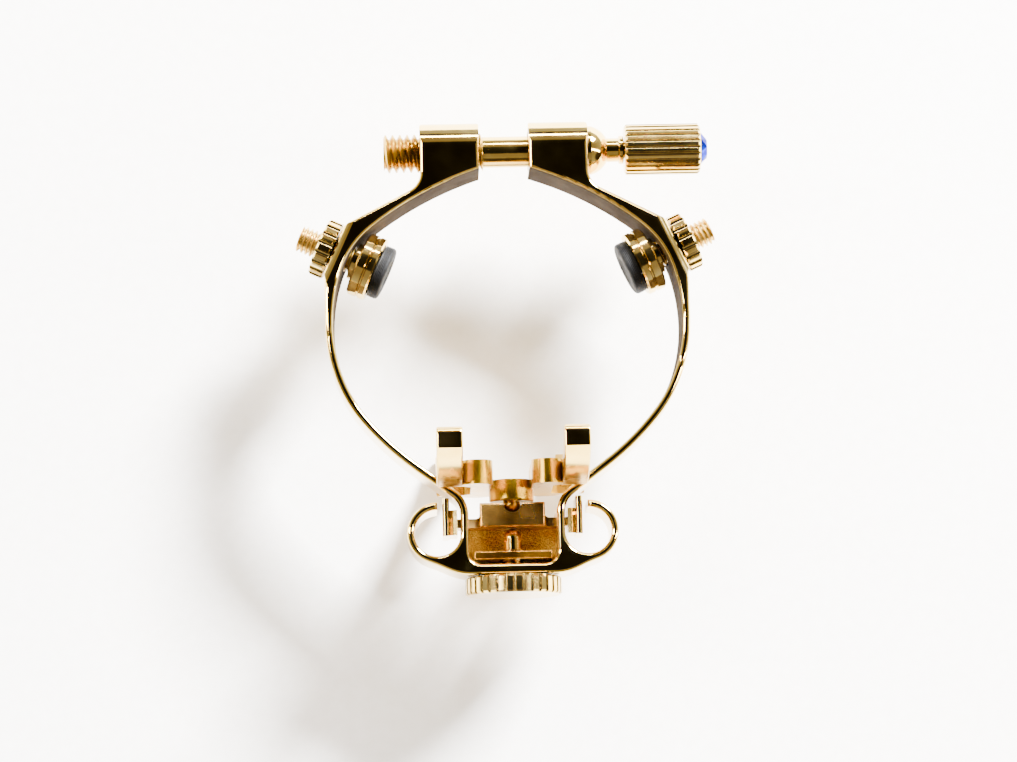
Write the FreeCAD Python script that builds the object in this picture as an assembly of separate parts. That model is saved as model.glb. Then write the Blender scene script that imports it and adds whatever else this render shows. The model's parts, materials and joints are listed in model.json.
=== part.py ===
import FreeCAD, Part
import math
import os

# Saxophone ligature. Millimetres. +Z runs along the mouthpiece axis towards the tip,
# +Y points at the clamp screw, -Y at the reed side. Origin: bore axis, rear face of the band.

V = FreeCAD.Vector
os.makedirs("parts", exist_ok=True)

# Split band
band_width = 6.0
mid_z = band_width / 2
edge_round = 0.33

# Clamp lugs and screw
lug_inner_x = 2.4
lug_outer_x = 8.1
lug_top_y = 19.85
lug_crown_r = 2.6
clamp_axis_y = 17.12
clamp_thread_dia = 3.7
clamp_pitch = 0.7
clamp_shaft_dia = 3.0
clamp_neck_dia = 1.7
clamp_thread_end_x = -11.6
clamp_thread_start_x = -2.0
washer_x = 8.16
washer_length = 1.85
washer_dia = 4.75
collar_x = 11.17
collar_length = 0.5
knob_x = 11.75
knob_length = 7.34
knob_dia = 4.9
knob_flutes = 24
gem_dia = 3.2
gem_stand = 0.7

# Side contact screws, measured outwards from the bore axis
side_angle = 24.5
pad_r = 12.6
cup_r = 13.75
spacer_r = 15.6
spacer_outer_r = 16.1
boss_r = 18.2
boss_round = 1.0
locknut_r = 18.27
locknut_length = 1.45
stud_tip_r = 21.75
pad_dia = 5.3
cup_dia = 6.3
spacer_dia = 3.6
locknut_dia = 5.7
locknut_flutes = 18
stud_dia = 2.6
stud_pitch = 0.45

# Reed-side cage
cage_inner_x = 4.2
cage_outer_x = 4.94
floor_inner_y = -23.2
floor_outer_y = -24.2
back_wall_top_y = -18.9
back_wall_thickness = 0.8
shoulder_r = 0.9
loop_x = 7.14
loop_y = -20.16
loop_inner_r = 2.2
loop_outer_r = 2.9

# Slider, guide keys and thumb screw
slider_half_x = 3.1
slider_top_y = -17.3
slider_bottom_y = -19.6
slider_travel = 0.8
wing_height = 0.85
wing_half_z = 1.4
key_hub_x = 5.25
key_flange_x = 6.0
key_outer_x = 6.65
nut_half_x = 3.7
nut_top_y = -21.95
nut_bottom_y = -22.7
thumb_thread_dia = 2.5
thumb_pitch = 0.45
thumb_pin_dia = 1.7
wheel_dia = 9.2
wheel_top_y = -24.3
wheel_thickness = 1.7
wheel_flutes = 34

# Reed cradle
cradle_top_y = -13.3
cradle_bottom_y = -15.9
web_top_y = -15.05
post_dia = 4.3
tenon_dia = 2.0
post_bottom_y = -17.08
ball_r = 0.85
finger_inner_x = 4.7
finger_outer_x = 7.15
finger_reach = 12.0
arm_gap = 3.6
rail_inner_x = 1.85
rail_outer_x = 3.9
finger_top_y = -11.2


def bar(x0, x1, y0, y1, z0, z1):
    return Part.makeBox(x1 - x0, y1 - y0, z1 - z0, V(x0, y0, z0))


def rod(start, direction, length, dia):
    return Part.makeCylinder(dia / 2, length, V(*start), V(*direction))


def line(start, end):
    return Part.makeLine(V(*start, 0), V(*end, 0))


def arc(start, middle, end):
    return Part.Arc(V(*start, 0), V(*middle, 0), V(*end, 0)).toShape()


def tangent_arcs(points, heading):
    """Arcs through points, each leaving along the direction the last one arrived on, in degrees."""
    edges = []
    for start, end in zip(points, points[1:]):
        dx = end[0] - start[0]
        dy = end[1] - start[1]
        turn = (math.degrees(math.atan2(dy, dx)) - heading + 180) % 360 - 180
        bulge = math.tan(math.radians(turn / 2)) / 2
        middle = ((start[0] + end[0]) / 2 + dy * bulge, (start[1] + end[1]) / 2 - dx * bulge)
        edges.append(arc(start, middle, end) if abs(turn) > 0.2 else line(start, end))
        heading += 2 * turn
    return edges


def mirror_x(shape):
    return shape.mirror(V(0, 0, 0), V(1, 0, 0))


def mirror_z(shape):
    return shape.mirror(V(0, 0, mid_z), V(0, 0, 1))


def joined(shapes):
    return shapes[0].fuse(shapes[1:]).removeSplitter()


def save(shape, name):
    shape.exportStep("parts/" + name + ".step")


def revolved_x(profile, y, z):
    """Turned piece about the X line through (y, z); profile is a list of (x, radius)."""
    points = [V(x, y + r, z) for x, r in profile]
    face = Part.Face(Part.makePolygon(points + [points[0]]))
    return face.revolve(V(0, y, z), V(1, 0, 0), 360)


def fluted_x(x0, length, dia, flutes, crest, depth, chamfer, y=0, z=0):
    """Straight-fluted wheel about the X line through (y, z) with chamfered rims.

    crest is the share of each flute's step that stays at full diameter."""
    outer = dia / 2
    step = 2 * math.pi / flutes
    rib = step * crest / 2
    edges = []
    for i in range(flutes):
        angles = [i * step - rib, i * step, i * step + rib, (i + 0.5) * step, (i + 1) * step - rib]
        radii = [outer, outer, outer, outer - depth, outer]
        p = [V(x0, y + r * math.cos(a), z + r * math.sin(a)) for a, r in zip(angles, radii)]
        edges.append(Part.Arc(p[0], p[1], p[2]).toShape())
        edges.append(Part.Arc(p[2], p[3], p[4]).toShape())
    wheel = Part.Face(Part.Wire(edges)).extrude(V(length, 0, 0))
    small = outer - chamfer
    rims = revolved_x(
        [(x0, 0), (x0, small), (x0 + chamfer, outer), (x0 + length - chamfer, outer),
         (x0 + length, small), (x0 + length, 0)], y, z)
    return wheel.common(rims)


def thread_x(x0, length, dia, pitch, core_dia):
    """Right-hand external thread along +X from x0, trimmed flat at both ends."""
    spare = 2 * pitch
    tip = dia / 2
    root = core_dia / 2 - 0.06
    half = pitch * 0.44
    crest = pitch * 0.08
    points = [V(root, 0, -half), V(tip, 0, -crest), V(tip, 0, crest), V(root, 0, half)]
    profile = Part.makePolygon(points + [points[0]])
    helix = Part.makeHelix(pitch, length + 2 * spare, core_dia / 2)
    ridge = Part.Wire(helix).makePipeShell([profile], True, True)
    core = Part.makeCylinder(core_dia / 2, length + 4 * spare, V(0, 0, -spare))
    screw = core.fuse(ridge)
    screw.translate(V(0, 0, -spare))
    screw = screw.common(Part.makeCylinder(tip + 0.5, length))
    screw.rotate(V(0, 0, 0), V(0, 1, 0), 90)
    screw.translate(V(x0, 0, 0))
    return screw


def side_place(shape, side):
    """Puts a piece drawn along +X on the left (-1) or right (1) contact screw line."""
    placed = shape.copy()
    angle = side_angle if side > 0 else 180 - side_angle
    placed.rotate(V(0, 0, 0), V(0, 0, 1), angle)
    placed.translate(V(0, 0, mid_z))
    return placed


# Ring frame: front outline of the right half, from the lug round the band to the cage floor
outline = [
    arc((lug_inner_x, lug_top_y - 0.45), (2.53, lug_top_y - 0.13), (2.85, lug_top_y)),
    line((2.85, lug_top_y), (7.55, lug_top_y)),
    arc((7.55, lug_top_y), (7.94, lug_top_y - 0.16), (lug_outer_x, lug_top_y - 0.55)),
    line((lug_outer_x, lug_top_y - 0.55), (lug_outer_x, 14.7)),
    line((cage_outer_x, -18.44), (cage_outer_x, loop_y)),
    arc((cage_outer_x, loop_y), (loop_x, loop_y - loop_inner_r), (loop_x + loop_inner_r, loop_y)),
    arc((loop_x + loop_inner_r, loop_y), (loop_x + loop_inner_r * 0.7071, loop_y + loop_inner_r * 0.7071),
        (loop_x, loop_y + loop_inner_r)),
    line((loop_x, loop_y + loop_inner_r), (loop_x, loop_y + loop_outer_r)),
    arc((loop_x, loop_y + loop_outer_r), (loop_x + loop_outer_r * 0.7071, loop_y + loop_outer_r * 0.7071),
        (loop_x + loop_outer_r, loop_y)),
    line((4.18, floor_outer_y), (0, floor_outer_y)),
    line((0, floor_inner_y), (3.0, floor_inner_y)),
    arc((3.0, floor_inner_y), (3.85, -22.85), (cage_inner_x, -22.0)),
    line((cage_inner_x, -22.0), (cage_inner_x, -18.42)),
    line((lug_inner_x, 14.95), (lug_inner_x, lug_top_y - 0.45))]
outline += tangent_arcs([(lug_outer_x, 14.7), (9.2, 12.91), (14.89, 10.012), (15.94, 8.915), (17.18, 6.185),
                         (17.45, 4.94), (17.45, 0), (16.61, -5.04), (14.18, -9.42), (9.14, -14.21),
                         (5.8, -16.7), (cage_outer_x, -18.44)], -90)
outline += tangent_arcs([(loop_x + loop_outer_r, loop_y), (8.13, -22.885), (6.3, -23.66),
                         (4.18, floor_outer_y)], -90)
outline += tangent_arcs([(16.7, 0), (15.9, 5.1), (12.9, 9.4), (lug_inner_x, 14.95)], 90)
outline += tangent_arcs([(16.7, 0), (15.9, -4.8), (13.6, -8.95), (8.7, -13.6), (5.35, -16.1),
                         (cage_inner_x, -18.42)], -90)
outline = Part.sortEdges(outline + [mirror_x(edge) for edge in outline])[0]
frame = Part.Face(Part.Wire(outline)).extrude(V(0, 0, band_width)).removeSplitter()
frame = frame.makeFillet(edge_round, [e for e in frame.Edges if e.BoundBox.ZLength < 0.001])

# Rounded crown over both lugs
crown = Part.makeBox(60, 60, band_width, V(-30, lug_top_y - 60, 0))
crown_edges = [e for e in crown.Edges if e.CenterOfMass.y > lug_top_y - 0.01 and abs(e.CenterOfMass.x) < 1]
frame = frame.common(crown.makeFillet(lug_crown_r, crown_edges))

# Larger rounding over the front and back of the two side bosses
for side in (-1, 1):
    swell = Part.makeBox(80, 80, band_width, V(boss_r - 80, -40, -mid_z))
    swell_edges = [e for e in swell.Edges if e.BoundBox.XMin > boss_r - 0.01 and e.BoundBox.YLength > 1]
    frame = frame.common(side_place(swell.makeFillet(boss_round, swell_edges), side))

# Cast wall closing the back of the cage, hollowed behind the thumb screw
back_wall = bar(-cage_inner_x - 0.3, cage_inner_x + 0.3, floor_inner_y - 0.3, back_wall_top_y + shoulder_r,
                edge_round, back_wall_thickness)
back_wall = back_wall.cut([
    bar(shoulder_r - cage_inner_x, cage_inner_x - shoulder_r, back_wall_top_y, 0, -1, 2),
    rod((shoulder_r - cage_inner_x, back_wall_top_y + shoulder_r, -1), (0, 0, 1), 3, 2 * shoulder_r),
    rod((cage_inner_x - shoulder_r, back_wall_top_y + shoulder_r, -1), (0, 0, 1), 3, 2 * shoulder_r)])
recess = joined([
    bar(-1.15, 1.15, nut_top_y, slider_bottom_y - 1.25, 0.35, 2),
    rod((0, slider_bottom_y - 1.25, 0.35), (0, 0, 1), 2, 2.3)])
nut_groove = bar(-nut_half_x - 0.03, nut_half_x + 0.03, nut_bottom_y - 0.02, nut_top_y + 0.02, 0.35, 2)
frame = frame.fuse(back_wall.cut(recess).cut(nut_groove)).removeSplitter()

# Bores and slots in the frame
lug_bore = rod((-20, clamp_axis_y, mid_z), (1, 0, 0), 20, clamp_thread_dia + 0.1)
lug_clearance = rod((0, clamp_axis_y, mid_z), (1, 0, 0), 20, clamp_thread_dia + 0.2)
thumb_bore = rod((0, floor_outer_y - 1, mid_z), (0, 1, 0), 3, thumb_thread_dia + 0.1)
slot = bar(-8, 8, slider_bottom_y - slider_travel - 0.15, slider_bottom_y + wing_height + 0.1,
           mid_z - wing_half_z - 0.08, mid_z + wing_half_z + 0.08)
frame = frame.cut([lug_bore, lug_clearance, thumb_bore])
frame = frame.cut(slot.common(bar(-5.2, 5.2, -22, -18, 0, band_width)))
for side in (-1, 1):
    frame = frame.cut(side_place(rod((15, 0, 0), (1, 0, 0), 5, stud_dia + 0.1), side))
save(frame, "ring_frame")

# Clamp screw with its journal, neck and pressed tenon
screw = thread_x(clamp_thread_end_x, clamp_thread_start_x - clamp_thread_end_x,
                 clamp_thread_dia, clamp_pitch, clamp_thread_dia - 2 * 0.43)
screw.translate(V(0, clamp_axis_y, mid_z))
shaft = revolved_x([
    (clamp_thread_start_x - 0.2, 0), (clamp_thread_start_x - 0.2, clamp_shaft_dia / 2 - 0.2),
    (clamp_thread_start_x, clamp_shaft_dia / 2), (washer_x - 0.1, clamp_shaft_dia / 2),
    (washer_x - 0.1, clamp_neck_dia / 2), (knob_x + 3, clamp_neck_dia / 2), (knob_x + 3, 0)],
    clamp_axis_y, mid_z)
save(screw.fuse(shaft), "clamp_screw")

# Domed thrust washer with a nose, free on the journal
blank = rod((washer_x, clamp_axis_y, mid_z), (1, 0, 0), washer_length, washer_dia)
dome = Part.makeSphere(2.45, V(washer_x - 0.28, clamp_axis_y, mid_z))
nose = rod((washer_x, clamp_axis_y, mid_z), (1, 0, 0), collar_x - 0.03 - washer_x, 2.3)
journal = rod((washer_x - 1, clamp_axis_y, mid_z), (1, 0, 0), 6, clamp_neck_dia + 0.12)
save(joined([blank.common(dome), nose]).cut(journal), "thrust_washer")

collar_end_x = collar_x + collar_length
collar = revolved_x([
    (collar_x, clamp_neck_dia / 2), (collar_x, 1.25), (collar_x + 0.12, 1.38),
    (collar_end_x - 0.12, 1.38), (collar_end_x, 1.25), (collar_end_x, clamp_neck_dia / 2)],
    clamp_axis_y, mid_z)
save(collar, "screw_collar")

knob = fluted_x(knob_x, knob_length, knob_dia, knob_flutes, 0.4, 0.19, 0.22, clamp_axis_y, mid_z)
knob = knob.cut(rod((knob_x, clamp_axis_y, mid_z), (1, 0, 0), 3, clamp_neck_dia))
knob_end_x = knob_x + knob_length
knob = knob.cut(rod((knob_end_x - 0.9, clamp_axis_y, mid_z), (1, 0, 0), 2, gem_dia))
save(knob, "clamp_knob")


def gem_ring(x, radius, count, turn):
    angles = [2 * math.pi * (i + turn) / count for i in range(count)]
    return [V(x, clamp_axis_y + radius * math.cos(a), mid_z + radius * math.sin(a)) for a in angles]


def facet(points):
    return Part.Face(Part.makePolygon(points + [points[0]]))


# Cut stone: eight-sided table, crown facets and a straight girdle
table = gem_ring(knob_end_x + gem_stand, 0.95, 8, 0)
girdle = gem_ring(knob_end_x + 0.12, gem_dia / 2 - 0.02, 8, 0.5)
base = gem_ring(knob_end_x - 0.85, gem_dia / 2 - 0.02, 8, 0.5)
faces = [facet(table), facet(base)]
for i in range(8):
    j = (i + 1) % 8
    faces.append(facet([table[i], table[j], girdle[i]]))
    faces.append(facet([table[j], girdle[i], girdle[j]]))
    faces.append(facet([girdle[i], girdle[j], base[j], base[i]]))
save(Part.Solid(Part.makeShell(faces)), "knob_gem")

# Side contact screws: rubber pad, cup, spacer, stud and knurled locknut
for side, label in ((-1, "left"), (1, "right")):
    pad = rod((pad_r, 0, 0), (1, 0, 0), cup_r - pad_r, pad_dia)
    pad = pad.makeFillet(0.25, [e for e in pad.Edges if e.BoundBox.XMax < pad_r + 0.01])
    save(side_place(pad, side), label + "_rubber_pad")

    cup = revolved_x([
        (cup_r, 0), (cup_r, cup_dia / 2 - 0.15), (cup_r + 0.15, cup_dia / 2),
        (cup_r + 0.65, cup_dia / 2), (cup_r + 0.73, cup_dia / 2 - 0.12), (cup_r + 0.87, cup_dia / 2 - 0.12),
        (cup_r + 0.95, cup_dia / 2), (spacer_r - 0.2, cup_dia / 2), (spacer_r, cup_dia / 2 - 0.2),
        (spacer_r, 0.85), (cup_r + 0.6, 0.85), (cup_r + 0.6, 0)], 0, 0)
    save(side_place(cup, side), label + "_pad_cup")

    spacer = rod((spacer_r, 0, 0), (1, 0, 0), spacer_outer_r - spacer_r, spacer_dia)
    spacer = spacer.cut(rod((spacer_r - 1, 0, 0), (1, 0, 0), 3, stud_dia + 0.1))
    save(side_place(spacer, side), label + "_spacer")

    stud = thread_x(spacer_r + 0.05, stud_tip_r - spacer_r - 0.05, stud_dia, stud_pitch, stud_dia - 2 * 0.27)
    stud = stud.fuse(rod((cup_r + 0.65, 0, 0), (1, 0, 0), spacer_r - cup_r - 0.5, 1.6))
    stud = stud.cut(bar(stud_tip_r - 0.5, stud_tip_r + 1, -2, 2, -0.2, 0.2))
    save(side_place(stud, side), label + "_stud")

    locknut = fluted_x(locknut_r, locknut_length, locknut_dia, locknut_flutes, 0.45, 0.27, 0.18)
    locknut = locknut.cut(rod((locknut_r - 1, 0, 0), (1, 0, 0), 4, stud_dia + 0.1))
    save(side_place(locknut, side), label + "_locknut")

# Slider: block with wings that pass through the wall slots to the guide keys
block = bar(-slider_half_x, slider_half_x, slider_bottom_y, slider_top_y, 1.0, 5.0)
block = block.makeFillet(0.2, [e for e in block.Edges if e.CenterOfMass.z > 4.99])
wing_top_y = slider_bottom_y + wing_height
wings = bar(-key_flange_x - 0.3, key_flange_x + 0.3, slider_bottom_y, wing_top_y,
            mid_z - wing_half_z, mid_z + wing_half_z)
blend = bar(-slider_half_x - 0.4, slider_half_x + 0.4, wing_top_y - 0.1, wing_top_y + 0.4,
            mid_z - wing_half_z, mid_z + wing_half_z)
for side in (-1, 1):
    blend = blend.cut(rod((side * (slider_half_x + 0.4), wing_top_y + 0.4, 0), (0, 0, 1), 6, 0.8))
slider = joined([block, wings, blend])
seat = joined([
    Part.makeSphere(ball_r + 0.06, V(0, slider_top_y, mid_z)),
    rod((0, slider_top_y, mid_z), (0, 0, 1), 3, 2 * (ball_r + 0.06))])
save(slider.cut(seat), "slider")

for side, label in ((-1, "left"), (1, "right")):
    hub_plan = [V(key_hub_x, -20.3, mid_z - 1.9), V(key_flange_x + 0.1, -20.3, mid_z - 1.5),
                V(key_flange_x + 0.1, -20.3, mid_z + 1.5), V(key_hub_x, -20.3, mid_z + 1.9)]
    hub = Part.Face(Part.makePolygon(hub_plan + [hub_plan[0]])).extrude(V(0, 2.4, 0))
    flange = bar(key_flange_x, key_outer_x, -20.4, -16.8, mid_z - 2.2, mid_z + 2.2)
    flange = flange.makeFillet(0.28, [e for e in flange.Edges if e.BoundBox.YLength > 3])
    key = joined([hub, flange])
    key = key.cut(bar(key_hub_x - 1, key_flange_x + 0.32, slider_bottom_y - 0.02, wing_top_y + 0.02,
                      mid_z - wing_half_z - 0.02, mid_z + wing_half_z + 0.02))
    save(key if side > 0 else mirror_x(key), label + "_guide_key")

# Thumb screw: threaded spindle with a plain domed point, pressed into a fluted wheel
spindle = thread_x(0, 2.6, thumb_thread_dia, thumb_pitch, thumb_thread_dia - 2 * 0.27)
pin_length = slider_bottom_y - 0.05 - (wheel_top_y - 1.7)
point = rod((-1.7, 0, 0), (1, 0, 0), pin_length - thumb_pin_dia / 2, thumb_pin_dia)
point = point.fuse(Part.makeSphere(thumb_pin_dia / 2, V(pin_length - 1.7 - thumb_pin_dia / 2, 0, 0)))
spindle = spindle.fuse(point)
spindle.rotate(V(0, 0, 0), V(0, 0, 1), 90)
spindle.translate(V(0, wheel_top_y, mid_z))
save(spindle, "thumb_spindle")

wheel = fluted_x(0, wheel_thickness, wheel_dia, wheel_flutes, 0.58, 0.2, 0.2)
wheel = wheel.cut(rod((-1, 0, 0), (1, 0, 0), 5, thumb_pin_dia))
wheel.rotate(V(0, 0, 0), V(0, 0, 1), 90)
wheel.translate(V(0, wheel_top_y - wheel_thickness, mid_z))
save(wheel, "thumb_wheel")

nut = bar(-nut_half_x, nut_half_x, nut_bottom_y, nut_top_y, 0.37, 5.3)
nut = nut.makeFillet(0.12, [e for e in nut.Edges if e.CenterOfMass.z > 5.29])
nut = nut.cut(rod((0, nut_bottom_y - 1, mid_z), (0, 1, 0), 4, thumb_thread_dia + 0.1))
save(nut, "nut_plate")

# Reed cradle: two rails joined by a low web, four curled contact fingers
finger_base_z = mid_z + arm_gap
finger_tip_z = mid_z + finger_reach
finger_side = Part.Face(Part.Wire(Part.sortEdges([
    tangent_arcs([(finger_base_z, cradle_bottom_y), (finger_tip_z, -13.25)], 0)[0],
    line((finger_tip_z, -13.25), (finger_tip_z, -11.9)),
    arc((finger_tip_z, -11.9), (14.8, -11.4), (14.3, finger_top_y)),
    line((14.3, finger_top_y), (13.5, finger_top_y)),
    tangent_arcs([(finger_base_z, cradle_top_y - 0.6), (13.5, finger_top_y)], 0)[0],
    line((finger_base_z, cradle_top_y - 0.6), (finger_base_z, cradle_bottom_y))])[0]))
finger_side.rotate(V(0, 0, 0), V(0, 1, 0), -90)
finger = finger_side.extrude(V(finger_outer_x - finger_inner_x, 0, 0))
finger.translate(V(finger_inner_x, 0, 0))
rail_top_y = cradle_top_y - 0.3
rail_height = rail_top_y - cradle_bottom_y
bump_r = (finger_inner_x + 0.1 - rail_inner_x) / 2
shoulder = bar(rail_inner_x, finger_outer_x - 0.3, cradle_bottom_y, rail_top_y,
               finger_base_z, finger_base_z + 0.8)
bump = rod((rail_inner_x + bump_r, cradle_bottom_y, finger_base_z + 0.8), (0, 1, 0), rail_height, 2 * bump_r)
rail = bar(rail_inner_x, rail_outer_x, cradle_bottom_y, rail_top_y, mid_z, finger_base_z + 0.4)
quarter = joined([rail, shoulder, bump, finger])
half = joined([quarter, mirror_z(quarter)])
web = bar(-rail_inner_x - 0.1, rail_inner_x + 0.1, cradle_bottom_y, web_top_y, mid_z - 1.4, mid_z + 1.4)
boss = rod((0, cradle_bottom_y, mid_z), (0, 1, 0), web_top_y - cradle_bottom_y, post_dia)
cradle = joined([half, mirror_x(half), web, boss])
finger_edges = [e for e in cradle.Edges if e.BoundBox.XLength < 0.01
                and abs(e.CenterOfMass.z - mid_z) > arm_gap + 2.1]
cradle = cradle.makeFillet(0.2, finger_edges)
cradle = cradle.cut(rod((0, cradle_bottom_y - 1, mid_z), (0, 1, 0), 3, tenon_dia))
save(cradle, "reed_cradle")

post = rod((0, post_bottom_y, mid_z), (0, 1, 0), cradle_bottom_y - post_bottom_y, post_dia)
post = post.makeFillet(0.2, [e for e in post.Edges if e.BoundBox.YMax < post_bottom_y + 0.01])
ball = Part.makeSphere(ball_r, V(0, slider_top_y, mid_z))
neck = rod((0, slider_top_y, mid_z), (0, 1, 0), 0.4, 1.1)
tenon = rod((0, cradle_bottom_y, mid_z), (0, 1, 0), web_top_y - cradle_bottom_y, tenon_dia)
post = joined([post, neck, ball, tenon])
save(post, "pivot_post")
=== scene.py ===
import json
import math

import bmesh
import bpy
from mathutils import Matrix, Vector


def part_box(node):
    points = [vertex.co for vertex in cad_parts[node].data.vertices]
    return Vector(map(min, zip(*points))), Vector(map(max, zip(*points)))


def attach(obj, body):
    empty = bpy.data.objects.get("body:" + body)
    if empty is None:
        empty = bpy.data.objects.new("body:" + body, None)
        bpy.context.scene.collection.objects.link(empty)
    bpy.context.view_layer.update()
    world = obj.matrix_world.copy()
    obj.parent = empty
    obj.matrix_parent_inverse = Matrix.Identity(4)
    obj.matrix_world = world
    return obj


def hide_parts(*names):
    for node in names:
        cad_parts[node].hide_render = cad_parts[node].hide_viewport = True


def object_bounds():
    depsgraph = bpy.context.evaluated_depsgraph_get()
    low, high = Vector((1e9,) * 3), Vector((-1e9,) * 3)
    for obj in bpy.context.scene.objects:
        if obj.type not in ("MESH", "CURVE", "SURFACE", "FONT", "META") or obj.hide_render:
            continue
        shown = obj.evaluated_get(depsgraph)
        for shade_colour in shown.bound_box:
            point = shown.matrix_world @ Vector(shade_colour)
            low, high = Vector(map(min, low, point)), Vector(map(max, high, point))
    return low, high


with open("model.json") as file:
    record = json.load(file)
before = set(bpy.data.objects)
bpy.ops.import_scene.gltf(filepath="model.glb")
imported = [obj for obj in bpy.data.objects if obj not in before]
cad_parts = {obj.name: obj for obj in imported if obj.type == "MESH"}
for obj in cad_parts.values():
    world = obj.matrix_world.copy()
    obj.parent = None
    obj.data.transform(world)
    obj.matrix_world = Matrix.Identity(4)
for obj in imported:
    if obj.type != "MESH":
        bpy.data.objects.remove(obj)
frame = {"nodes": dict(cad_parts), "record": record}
cad_lo, cad_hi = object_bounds()
nodes = frame["nodes"]
band_lo, band_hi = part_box("ring_frame")
MID_Z = (band_lo.z + band_hi.z) / 2
scene = bpy.context.scene

# ---------------------------------------------------------------- node helpers


def new_material(name):
    mat = bpy.data.materials.new(name)
    mat.use_nodes = True
    tree = mat.node_tree
    shader = tree.nodes["Principled BSDF"]
    coord = tree.nodes.new("ShaderNodeTexCoord")
    return mat, tree, shader, coord.outputs["Object"]


def add(tree, kind, **values):
    node = tree.nodes.new(kind)
    for key, value in values.items():
        setattr(node, key, value)
    return node


def noise(tree, coord, scale, detail, stretch=(1, 1, 1)):
    mapping = add(tree, "ShaderNodeMapping")
    mapping.inputs["Scale"].default_value = stretch
    tree.links.new(coord, mapping.inputs["Vector"])
    node = add(tree, "ShaderNodeTexNoise")
    node.inputs["Scale"].default_value = scale
    node.inputs["Detail"].default_value = detail
    tree.links.new(mapping.outputs["Vector"], node.inputs["Vector"])
    return node.outputs["Fac"]


def spread(tree, source, low, high, from_low=0.3, from_high=0.7):
    """source, taken from from_low..from_high to low..high and held there beyond its ends."""
    node = add(tree, "ShaderNodeMapRange")
    node.inputs["From Min"].default_value = from_low
    node.inputs["From Max"].default_value = from_high
    node.inputs["To Min"].default_value = low
    node.inputs["To Max"].default_value = high
    tree.links.new(source, node.inputs["Value"])
    return node.outputs["Result"]


def ramp(tree, source, stops):
    """stops: list of (place, colour), from left to right"""
    node = add(tree, "ShaderNodeValToRGB")
    elements = node.color_ramp.elements
    while len(elements) < len(stops):
        elements.new(0.5)
    for element, (place, colour) in zip(elements, stops):
        element.position = place
        element.color = (*colour, 1)
    tree.links.new(source, node.inputs["Fac"])
    return node.outputs["Color"]


def bump(tree, shader, sources):
    """sources: list of (height output, distance in metres, strength)"""
    normal = None
    for height, distance, strength in sources:
        node = add(tree, "ShaderNodeBump")
        node.inputs["Distance"].default_value = distance
        node.inputs["Strength"].default_value = strength
        tree.links.new(height, node.inputs["Height"])
        if normal:
            tree.links.new(normal, node.inputs["Normal"])
        normal = node.outputs["Normal"]
    tree.links.new(normal, shader.inputs["Normal"])


def axis_value(tree, coord, axis):
    node = add(tree, "ShaderNodeSeparateXYZ")
    tree.links.new(coord, node.inputs[0])
    return node.outputs[axis]


def math_node(tree, kind, a, b=None):
    """a and b are numbers or outputs"""
    node = add(tree, "ShaderNodeMath", operation=kind)
    for socket, value in zip(node.inputs, (a, b)):
        if isinstance(value, (int, float)):
            socket.default_value = value
        elif value is not None:
            tree.links.new(value, socket)
    return node.outputs[0]


def band(tree, value, low, high, soft=0.00006):
    """1 where value lies between low and high, with soft edges."""
    rise = spread(tree, value, 0, 1, low - soft, low + soft)
    fall = spread(tree, value, 1, 0, high - soft, high + soft)
    return math_node(tree, "MULTIPLY", rise, fall)


def mix_value(tree, factor, a, b):
    node = add(tree, "ShaderNodeMix", data_type="FLOAT")
    for socket, value in ((node.inputs[0], factor), (node.inputs[2], a), (node.inputs[3], b)):
        tree.links.new(value, socket)
    return node.outputs[0]


def mix_colour(tree, factor, a, b):
    """a and b are colours or outputs"""
    node = add(tree, "ShaderNodeMix", data_type="RGBA")
    tree.links.new(factor, node.inputs[0])
    for socket, value in ((node.inputs[6], a), (node.inputs[7], b)):
        if isinstance(value, tuple):
            socket.default_value = (*value, 1)
        else:
            tree.links.new(value, socket)
    return node.outputs[2]


# ---------------------------------------------------------------- where the finishes and the painted shade change, in metres
NO_LOWER_LIMIT = -1
CAGE_HALF_WIDTH = 0.00432
CAGE_FLOOR_Y, CAGE_MOUTH_Y = -0.02325, -0.0175
CAGE_REAR_Z, CAGE_FRONT_Z = -0.0002, 0.0056
# the painted shade on the band's inner faces fades in between these two heights
INNER_SHADE_NONE_Y, INNER_SHADE_FULL_Y = -0.0168, -0.0150
FINGERTIP_Z = 0.0085
FINGERTIP_BLEND = 0.0020
THREAD_END_X = -0.0021


def inner_shade_mask(tree, coord):
    """The band's inner faces, painted dark as shade: 1 where the surface looks at the axis."""
    flat = add(tree, "ShaderNodeVectorMath", operation="MULTIPLY")
    tree.links.new(coord, flat.inputs[0])
    flat.inputs[1].default_value = (1, 1, 0)
    outward = add(tree, "ShaderNodeVectorMath", operation="NORMALIZE")
    tree.links.new(flat.outputs[0], outward.inputs[0])
    facing = add(tree, "ShaderNodeVectorMath", operation="DOT_PRODUCT")
    tree.links.new(outward.outputs[0], facing.inputs[0])
    tree.links.new(add(tree, "ShaderNodeNewGeometry").outputs["Normal"], facing.inputs[1])
    looks_in = spread(tree, facing.outputs["Value"], 1, 0, -0.93, -0.62)
    above_cage = spread(tree, axis_value(tree, coord, "Y"), 0, 1, INNER_SHADE_NONE_Y, INNER_SHADE_FULL_Y)
    return math_node(tree, "MULTIPLY", looks_in, above_cage)


def cage_mask(tree, coord):
    """Inner faces and back wall of the cage, which keep their unpolished casting surface, darkened as
    painted shade.
    """
    x = math_node(tree, "ABSOLUTE", axis_value(tree, coord, "X"))
    across = band(tree, x, NO_LOWER_LIMIT, CAGE_HALF_WIDTH)
    upright = band(tree, axis_value(tree, coord, "Y"), CAGE_FLOOR_Y, CAGE_MOUTH_Y)
    along = band(tree, axis_value(tree, coord, "Z"), CAGE_REAR_Z, CAGE_FRONT_Z)
    return math_node(tree, "MULTIPLY", math_node(tree, "MULTIPLY", across, upright), along)


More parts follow.
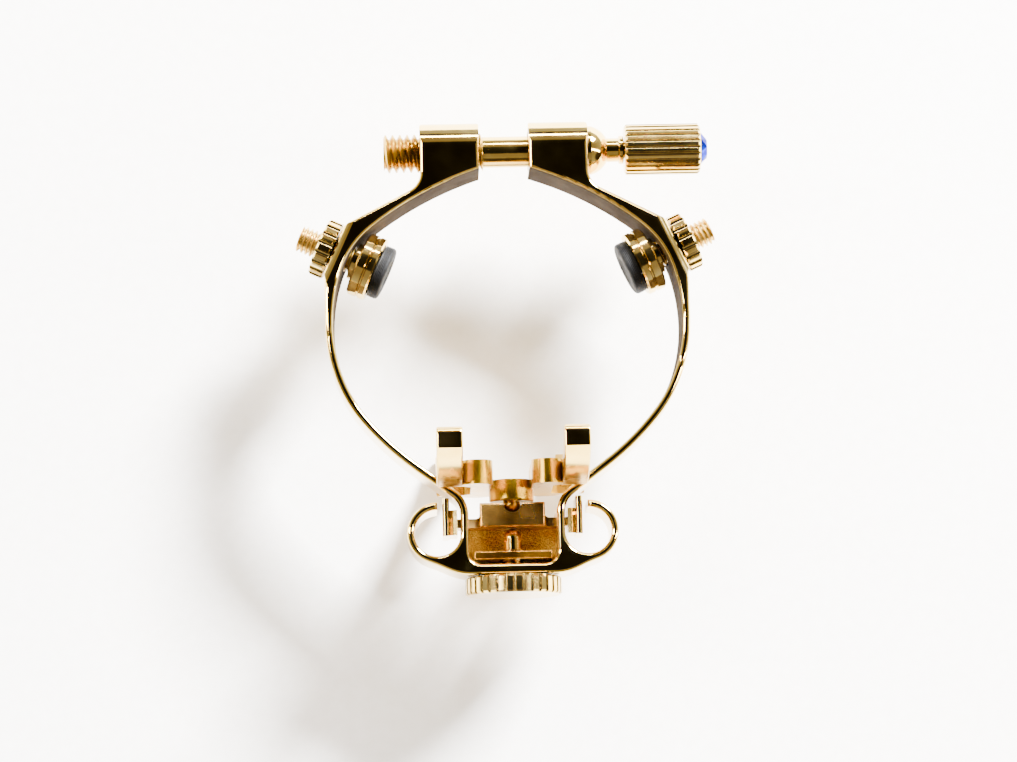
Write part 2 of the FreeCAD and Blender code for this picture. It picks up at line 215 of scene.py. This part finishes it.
def cradle_mask(tree, coord):
    """The cradle's rails, bumps and web; its finger tips are polished."""
    z = math_node(tree, "SUBTRACT", axis_value(tree, coord, "Z"), MID_Z)
    from_middle = math_node(tree, "ABSOLUTE", z)
    return band(tree, from_middle, NO_LOWER_LIMIT, FINGERTIP_Z, FINGERTIP_BLEND)


def thread_mask(tree, coord):
    """The clamp screw's thread, left of its plain shaft."""
    return band(tree, axis_value(tree, coord, "X"), NO_LOWER_LIMIT, THREAD_END_X)


# ---------------------------------------------------------------- gold plate
GOLD_LIGHT = (0.94, 0.68, 0.19)
GOLD_DARK = (0.80, 0.53, 0.10)
# painted shade colours for corners and grooves
GOLD_PAINTED_SHADE = (0.34, 0.205, 0.028)
GROOVE_PAINTED_SHADE = (0.085, 0.048, 0.008)
GOLD_WORN = (0.98, 0.79, 0.36)
# darker amber copies of the gold for the semi-matt areas: painted shade
AMBER_SHADE_LIGHT = (0.60, 0.36, 0.020)
AMBER_SHADE_DARK = (0.34, 0.185, 0.006)
# darker copy of the gold for the brushed slider and nut plate: painted shade
BRUSHED_SHADE_LIGHT = (0.66, 0.30, 0.020)
BRUSHED_SHADE_DARK = (0.44, 0.17, 0.008)
# near-black colours for the band's inner faces: painted shade
INNER_SHADE_DARK = (0.030, 0.022, 0.016)
INNER_SHADE_LIGHT = (0.065, 0.050, 0.036)
# grainy colours of the casting surface, darker overall: painted shade over the real grain
CAST_SHADE_STOPS = [(0.32, (0.20, 0.10, 0.006)), (0.55, (0.60, 0.36, 0.035)), (0.75, (0.96, 0.70, 0.17))]

# noise scales, per metre
CLOUD_SCALE = 260
GRAIN_SCALE = 2400
PIT_SCALE = 2600
SAND_SCALE = 9000
LUMP_SCALE = 3600

# bump heights, in metres
CLOUD_HEIGHT = 0.0003
GRAIN_HEIGHT = 0.00001
SAND_HEIGHT = 0.00005
LUMP_HEIGHT = 0.00006

CORNER_REACH = 0.0009


def two_tone(tree, source, dark, light):
    return ramp(tree, source, [(0.3, dark), (0.7, light)])


def painted_shade_mask(tree, open_from):
    """Painted shade in corners and grooves: 1 deep inside, 0 where a spot is at least open_from open."""
    occlusion = add(tree, "ShaderNodeAmbientOcclusion", samples=6)
    occlusion.inputs["Distance"].default_value = CORNER_REACH
    return spread(tree, occlusion.outputs["AO"], 1, 0, open_from - 0.6, open_from)


def edge_mask(tree, broad):
    """Convex edges, unevenly, where the plate is worn."""
    edge = add(tree, "ShaderNodeNewGeometry").outputs["Pointiness"]
    return math_node(tree, "MULTIPLY", spread(tree, edge, 0, 0.55, 0.52, 0.6), broad)


def gold(name, rough_low, rough_high, grain, stretch=(1, 1, 1), cast_and_shade=None, satin_and_shade=None,
         light=GOLD_LIGHT, dark=GOLD_DARK, shade_colour=GOLD_PAINTED_SHADE, shade_open=0.85):
    """Gold plate: cloudy colour, hairline grain, painted shade in corners, paler worn edges.

    cast(tree, coord) gives a mask of the rough, unpolished areas, painted darker as shade, and adds the
    inner faces, painted near black as shade.
    satin(tree, coord) gives a mask of the semi-matt areas, painted in a darker amber copy of the gold as
    shade.
    shade_open is how open a spot must be to have no painted shade."""
    mat, tree, shader, coord = new_material(name)
    broad = noise(tree, coord, CLOUD_SCALE, 4)
    fine = noise(tree, coord, GRAIN_SCALE, 2, stretch)
    pits = noise(tree, coord, PIT_SCALE, 2)
    # painted shade: the gold is darkened where ambient occlusion finds corners and grooves
    painted_shade = painted_shade_mask(tree, shade_open)
    edge = edge_mask(tree, broad)
    colour = mix_colour(tree, painted_shade, two_tone(tree, broad, dark, light), shade_colour)
    colour = mix_colour(tree, edge, colour, GOLD_WORN)
    rough = spread(tree, broad, rough_low, rough_high)
    rough = math_node(tree, "ADD", rough, math_node(tree, "MULTIPLY", edge, 0.12))
    if satin_and_shade:
        soft = satin_and_shade(tree, coord)
        # painted shade: a darker amber copy of the gold here; the higher roughness below is the real
        # finish
        amber = mix_colour(tree, painted_shade, two_tone(tree, broad, AMBER_SHADE_DARK, AMBER_SHADE_LIGHT), shade_colour)
        colour = mix_colour(tree, soft, colour, amber)
        rough = mix_value(tree, soft, rough, spread(tree, broad, 0.22, 0.34))
    heights = [(broad, CLOUD_HEIGHT, 0.05), (fine, GRAIN_HEIGHT, grain), (pits, GRAIN_HEIGHT, 0.1)]
    if cast_and_shade:
        mask = cast_and_shade(tree, coord)
        sand = noise(tree, coord, SAND_SCALE, 6)
        lumps = noise(tree, coord, LUMP_SCALE, 3)
        # painted shade: the rough areas take darker, grainy colours; the grain itself is the real surface
        colour = mix_colour(tree, mask, colour, ramp(tree, sand, CAST_SHADE_STOPS))
        rough = mix_value(tree, mask, rough, spread(tree, sand, 0.48, 0.30))
        heights += [(math_node(tree, "MULTIPLY", sand, mask), SAND_HEIGHT, 0.8),
                    (math_node(tree, "MULTIPLY", lumps, mask), LUMP_HEIGHT, 0.5)]
        # painted shade: the band's inner faces turn near black and almost non-metallic
        inner_shade = inner_shade_mask(tree, coord)
        colour = mix_colour(tree, inner_shade, colour, two_tone(tree, broad, INNER_SHADE_DARK, INNER_SHADE_LIGHT))
        rough = mix_value(tree, inner_shade, rough, spread(tree, fine, 0.42, 0.58))
        shader.inputs["Specular IOR Level"].default_value = 0.0
        tree.links.new(spread(tree, inner_shade, 1.0, 0.06, 0.0, 1.0), shader.inputs["Metallic"])
    else:
        shader.inputs["Metallic"].default_value = 1.0
    tree.links.new(colour, shader.inputs["Base Color"])
    tree.links.new(rough, shader.inputs["Roughness"])
    bump(tree, shader, heights)
    return mat


# ---------------------------------------------------------------- rubber, stone and floor
RUBBER_STOPS = [(0.3, (0.0015, 0.0015, 0.0017)), (0.78, (0.006, 0.006, 0.0065))]
STONE_STOPS = [(0.33, (0.0004, 0.0015, 0.05)), (0.55, (0.001, 0.008, 0.24)), (0.75, (0.01, 0.06, 0.60))]
FLOOR_DARK = (0.925, 0.89, 0.85)
FLOOR_LIGHT = (0.97, 0.94, 0.905)


def rubber_material():
    mat, tree, shader, coord = new_material("black_rubber")
    grain = noise(tree, coord, 3800, 6)
    mottle = noise(tree, coord, 1100, 4)
    tree.links.new(ramp(tree, grain, RUBBER_STOPS), shader.inputs["Base Color"])
    tree.links.new(spread(tree, mottle, 0.48, 0.72), shader.inputs["Roughness"])
    shader.inputs["Specular IOR Level"].default_value = 0.16
    bump(tree, shader, [(mottle, 0.00009, 0.5), (grain, 0.00005, 0.8)])
    return mat


def stone_material():
    mat, tree, shader, coord = new_material("blue_stone")
    depth = noise(tree, coord, 1300, 2)
    polish = noise(tree, coord, 3000, 2)
    tree.links.new(ramp(tree, depth, STONE_STOPS), shader.inputs["Base Color"])
    tree.links.new(spread(tree, polish, 0.02, 0.06), shader.inputs["Roughness"])
    shader.inputs["Metallic"].default_value = 0.8
    shader.inputs["Specular Tint"].default_value = (0.05, 0.10, 0.85, 1)
    shader.inputs["Coat Weight"].default_value = 0.12
    shader.inputs["Coat Roughness"].default_value = 0.02
    return mat


def floor_material():
    mat, tree, shader, coord = new_material("pale_floor")
    paper = noise(tree, coord, 900, 6)
    tree.links.new(two_tone(tree, paper, FLOOR_DARK, FLOOR_LIGHT), shader.inputs["Base Color"])
    shader.inputs["Roughness"].default_value = 0.85
    shader.inputs["Specular IOR Level"].default_value = 0.1
    return mat


# ---------------------------------------------------------------- finishes of the CAD nodes
gold_polished = gold("gold_polished", 0.04, 0.11, 0.15)
gold_frame = gold("gold_frame", 0.04, 0.10, 0.12, cast_and_shade=cage_mask)
# painted shade: the cradle body and the clamp screw's thread take the darker amber copy of the gold
gold_cradle = gold("gold_cradle", 0.06, 0.13, 0.3, satin_and_shade=cradle_mask)
gold_screw = gold("gold_screw", 0.07, 0.15, 0.25, (1, 7, 7), satin_and_shade=thread_mask)
gold_thread = gold("gold_thread", 0.24, 0.36, 0.3)
gold_turned = gold("gold_turned", 0.05, 0.12, 0.12, (5, 1, 1))
# painted shade: the slider and nut plate, inside the cage, take a darker copy of the gold; the brushed
# grain and roughness are real
gold_brushed_shaded = gold("gold_brushed_shaded", 0.18, 0.30, 0.6, (1, 9, 1), light=BRUSHED_SHADE_LIGHT, dark=BRUSHED_SHADE_DARK)
# the flutes get a deep painted shade
gold_fluted = gold("gold_fluted", 0.05, 0.12, 0.15, (1, 5, 5), shade_colour=GROOVE_PAINTED_SHADE, shade_open=1.0)
rubber = rubber_material()
stone = stone_material()

FINISHES = [
    (gold_frame, ["ring_frame"]),
    (gold_cradle, ["reed_cradle", "pivot_post"]),
    (gold_screw, ["clamp_screw"]),
    (gold_thread, ["left_stud", "right_stud"]),
    (gold_turned, ["thrust_washer", "screw_collar", "left_pad_cup", "right_pad_cup", "left_spacer",
                   "right_spacer"]),
    (gold_brushed_shaded, ["slider", "nut_plate"]),
    (gold_fluted, ["clamp_knob", "thumb_wheel", "left_locknut", "right_locknut"]),
    (rubber, ["left_rubber_pad", "right_rubber_pad"]),
    (stone, ["knob_gem"]),
]
finish_of = {node: material for material, names in FINISHES for node in names}
for name, obj in nodes.items():
    obj.data.materials.clear()
    obj.data.materials.append(finish_of.get(name, gold_polished))

# ---------------------------------------------------------------- moulded rubber pads
PAD_SIDES = 96
PAD_RIBS = 4
PAD_DISH = 0.00010
RIBS_START = 0.00026
RIBS_SPARE = 0.00044
RIB_ROOT = 0.945
RIB_CREST = 0.99
FOOT_EDGE = 0.98
FOOT_LENGTH = 0.00012


def pad_profile(depth, radius):
    """(distance behind the contact face, radius): dished face, raised ring, ribbed side, plain foot."""
    points = [(PAD_DISH, 0.0), (PAD_DISH, radius * 0.42), (0.00003, radius * 0.50),
              (0.0, radius * 0.60), (0.0, radius * 0.80), (0.00003, radius * 0.88),
              (0.00010, radius * 0.94), (0.00020, radius * 0.975)]
    pitch = (depth - RIBS_SPARE) / PAD_RIBS
    for i in range(PAD_RIBS):
        at = RIBS_START + i * pitch
        points += [(at, radius * RIB_ROOT), (at + pitch * 0.3, radius * RIB_CREST),
                   (at + pitch * 0.7, radius * RIB_CREST), (at + pitch * 0.95, radius * RIB_ROOT)]
    return points + [(depth - FOOT_LENGTH, radius * FOOT_EDGE), (depth, radius * FOOT_EDGE), (depth, 0.0)]


def lathe(name, profile, place, direction):
    """Turned closed mesh: profile runs from place along direction."""
    axis = Vector(direction).normalized()
    across = axis.orthogonal().normalized()
    around = axis.cross(across)
    turn = [2 * math.pi * k / PAD_SIDES for k in range(PAD_SIDES)]
    mesh = bpy.data.meshes.new(name)
    bm = bmesh.new()
    rings = []
    for along, radius in profile:
        centre = Vector(place) + axis * along
        if radius == 0:
            rings.append([bm.verts.new(centre)])
            continue
        spokes = [across * math.cos(a) + around * math.sin(a) for a in turn]
        rings.append([bm.verts.new(centre + spoke * radius) for spoke in spokes])
    for near, far in zip(rings, rings[1:]):
        for k in range(PAD_SIDES):
            m = (k + 1) % PAD_SIDES
            if len(near) == 1:
                bm.faces.new((near[0], far[m], far[k]))
            elif len(far) == 1:
                bm.faces.new((near[k], near[m], far[0]))
            else:
                bm.faces.new((near[k], near[m], far[m], far[k]))
    bmesh.ops.recalc_face_normals(bm, faces=bm.faces)
    for face in bm.faces:
        face.smooth = True
    bm.to_mesh(mesh)
    bm.free()
    obj = bpy.data.objects.new(name, mesh)
    scene.collection.objects.link(obj)
    return obj


mounts = {m["name"]: m for m in frame["record"]["mounts"]}
for side in ("left", "right"):
    face = mounts[side + "_pad_face"]
    inward = Vector(face["axis"]).normalized()
    pad_lo, pad_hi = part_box(side + "_rubber_pad")
    radius = (pad_hi.z - pad_lo.z) / 2
    # the slanted pad's box is depth * |cos| + diameter * |sin| wide
    depth = (pad_hi.x - pad_lo.x - 2 * radius * abs(inward.y)) / abs(inward.x)
    pad = lathe(side + "_ribbed_pad", pad_profile(depth, radius), face["pos_m"], -inward)
    pad.data.materials.append(rubber)
    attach(pad, side + "_pad")
    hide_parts(side + "_rubber_pad")

# ---------------------------------------------------------------- floor
FLOOR_SIZE = 3.0
FLOOR_GAP = 0.00005
bpy.ops.mesh.primitive_plane_add(size=FLOOR_SIZE, location=(0, 0, cad_lo.z - FLOOR_GAP))
floor = bpy.context.object
floor.name = "floor"
floor.data.materials.append(floor_material())

# ---------------------------------------------------------------- sky: warm white with dimmer patches
SKY_STRENGTH = 0.78
SKY_WHITE = (1.0, 0.965, 0.905)
# direction, cosine at the patch's edge, cosine at its core, colour
SKY_PATCHES = [((0.0, 0.0, 1.0), 0.10, 0.72, (0.46, 0.38, 0.28)),
               ((0.02, 0.06, 0.99), 0.885, 0.915, (0.010, 0.008, 0.006)),
               ((-1.0, -0.35, 0.25), 0.90, 0.96, (0.06, 0.045, 0.03)),
               ((1.0, -0.45, 0.25), 0.93, 0.97, (0.07, 0.05, 0.03)),
               ((0.0, -1.0, 0.20), 0.90, 0.96, (0.09, 0.065, 0.04)),
               ((0.1, 1.0, 0.55), 0.985, 0.993, (0.05, 0.035, 0.02))]

world = bpy.data.worlds.new("studio")
scene.world = world
world.use_nodes = True
sky_tree = world.node_tree
sky_direction = add(sky_tree, "ShaderNodeTexCoord").outputs["Generated"]


def sky_patch(direction, edge, core):
    """1 inside a cone round direction, fading to 0 between the two cosines."""
    dot = add(sky_tree, "ShaderNodeVectorMath", operation="DOT_PRODUCT")
    sky_tree.links.new(sky_direction, dot.inputs[0])
    dot.inputs[1].default_value = Vector(direction).normalized()
    return spread(sky_tree, dot.outputs["Value"], 0, 1, edge, core)


sky = SKY_WHITE
for direction, edge, core, colour in SKY_PATCHES:
    sky = mix_colour(sky_tree, sky_patch(direction, edge, core), sky, colour)
background = sky_tree.nodes["Background"]
sky_tree.links.new(sky, background.inputs["Color"])
background.inputs["Strength"].default_value = SKY_STRENGTH

# ---------------------------------------------------------------- lights, all aimed at the origin
COOL_WHITE = (0.97, 0.985, 1.0)
WARM_WHITE = (1.0, 0.93, 0.85)
# name, place, size, power in watts, colour
LIGHTS = [("key", (0.42, 0.52, 0.42), (0.20, 0.20), 112, COOL_WHITE),
          ("softbox_left", (-0.50, 0.12, 0.42), (0.07, 0.50), 6.5, WARM_WHITE),
          ("softbox_right", (0.52, -0.05, 0.38), (0.07, 0.50), 6.0, WARM_WHITE),
          ("softbox_top", (0.02, 0.55, 0.40), (0.50, 0.06), 6.0, WARM_WHITE)]


def area_light(name, place, size, power, colour):
    lamp = bpy.data.lights.new(name, "AREA")
    lamp.shape = "RECTANGLE"
    lamp.size, lamp.size_y = size
    lamp.energy = power
    lamp.color = colour
    obj = bpy.data.objects.new(name, lamp)
    obj.location = place
    obj.rotation_euler = (-Vector(place)).to_track_quat("-Z", "Y").to_euler()
    scene.collection.objects.link(obj)


for light in LIGHTS:
    area_light(*light)

# ---------------------------------------------------------------- camera
TARGET = Vector((-0.0001, -0.0058, 0.006))
DISTANCE = 0.320
TILT = math.radians(8.5)
YAW = math.radians(1.6)
ROLL = math.radians(-1.4)
SENSOR_MM = 36
LENS_MM = 119
NEAREST = 0.01

back = Vector((-math.sin(YAW), -math.sin(TILT), math.cos(TILT))).normalized()
right = Vector((0, 1, 0)).cross(back).normalized()
up = back.cross(right)
look = Matrix((right, up, back)).transposed().to_4x4()
cam_data = bpy.data.cameras.new("camera")
cam_data.sensor_width = SENSOR_MM
cam_data.lens = LENS_MM
cam_data.clip_start = NEAREST
camera = bpy.data.objects.new("camera", cam_data)
scene.collection.objects.link(camera)
camera.matrix_world = Matrix.Translation(TARGET + back * DISTANCE) @ look @ Matrix.Rotation(ROLL, 4, "Z")
scene.camera = camera
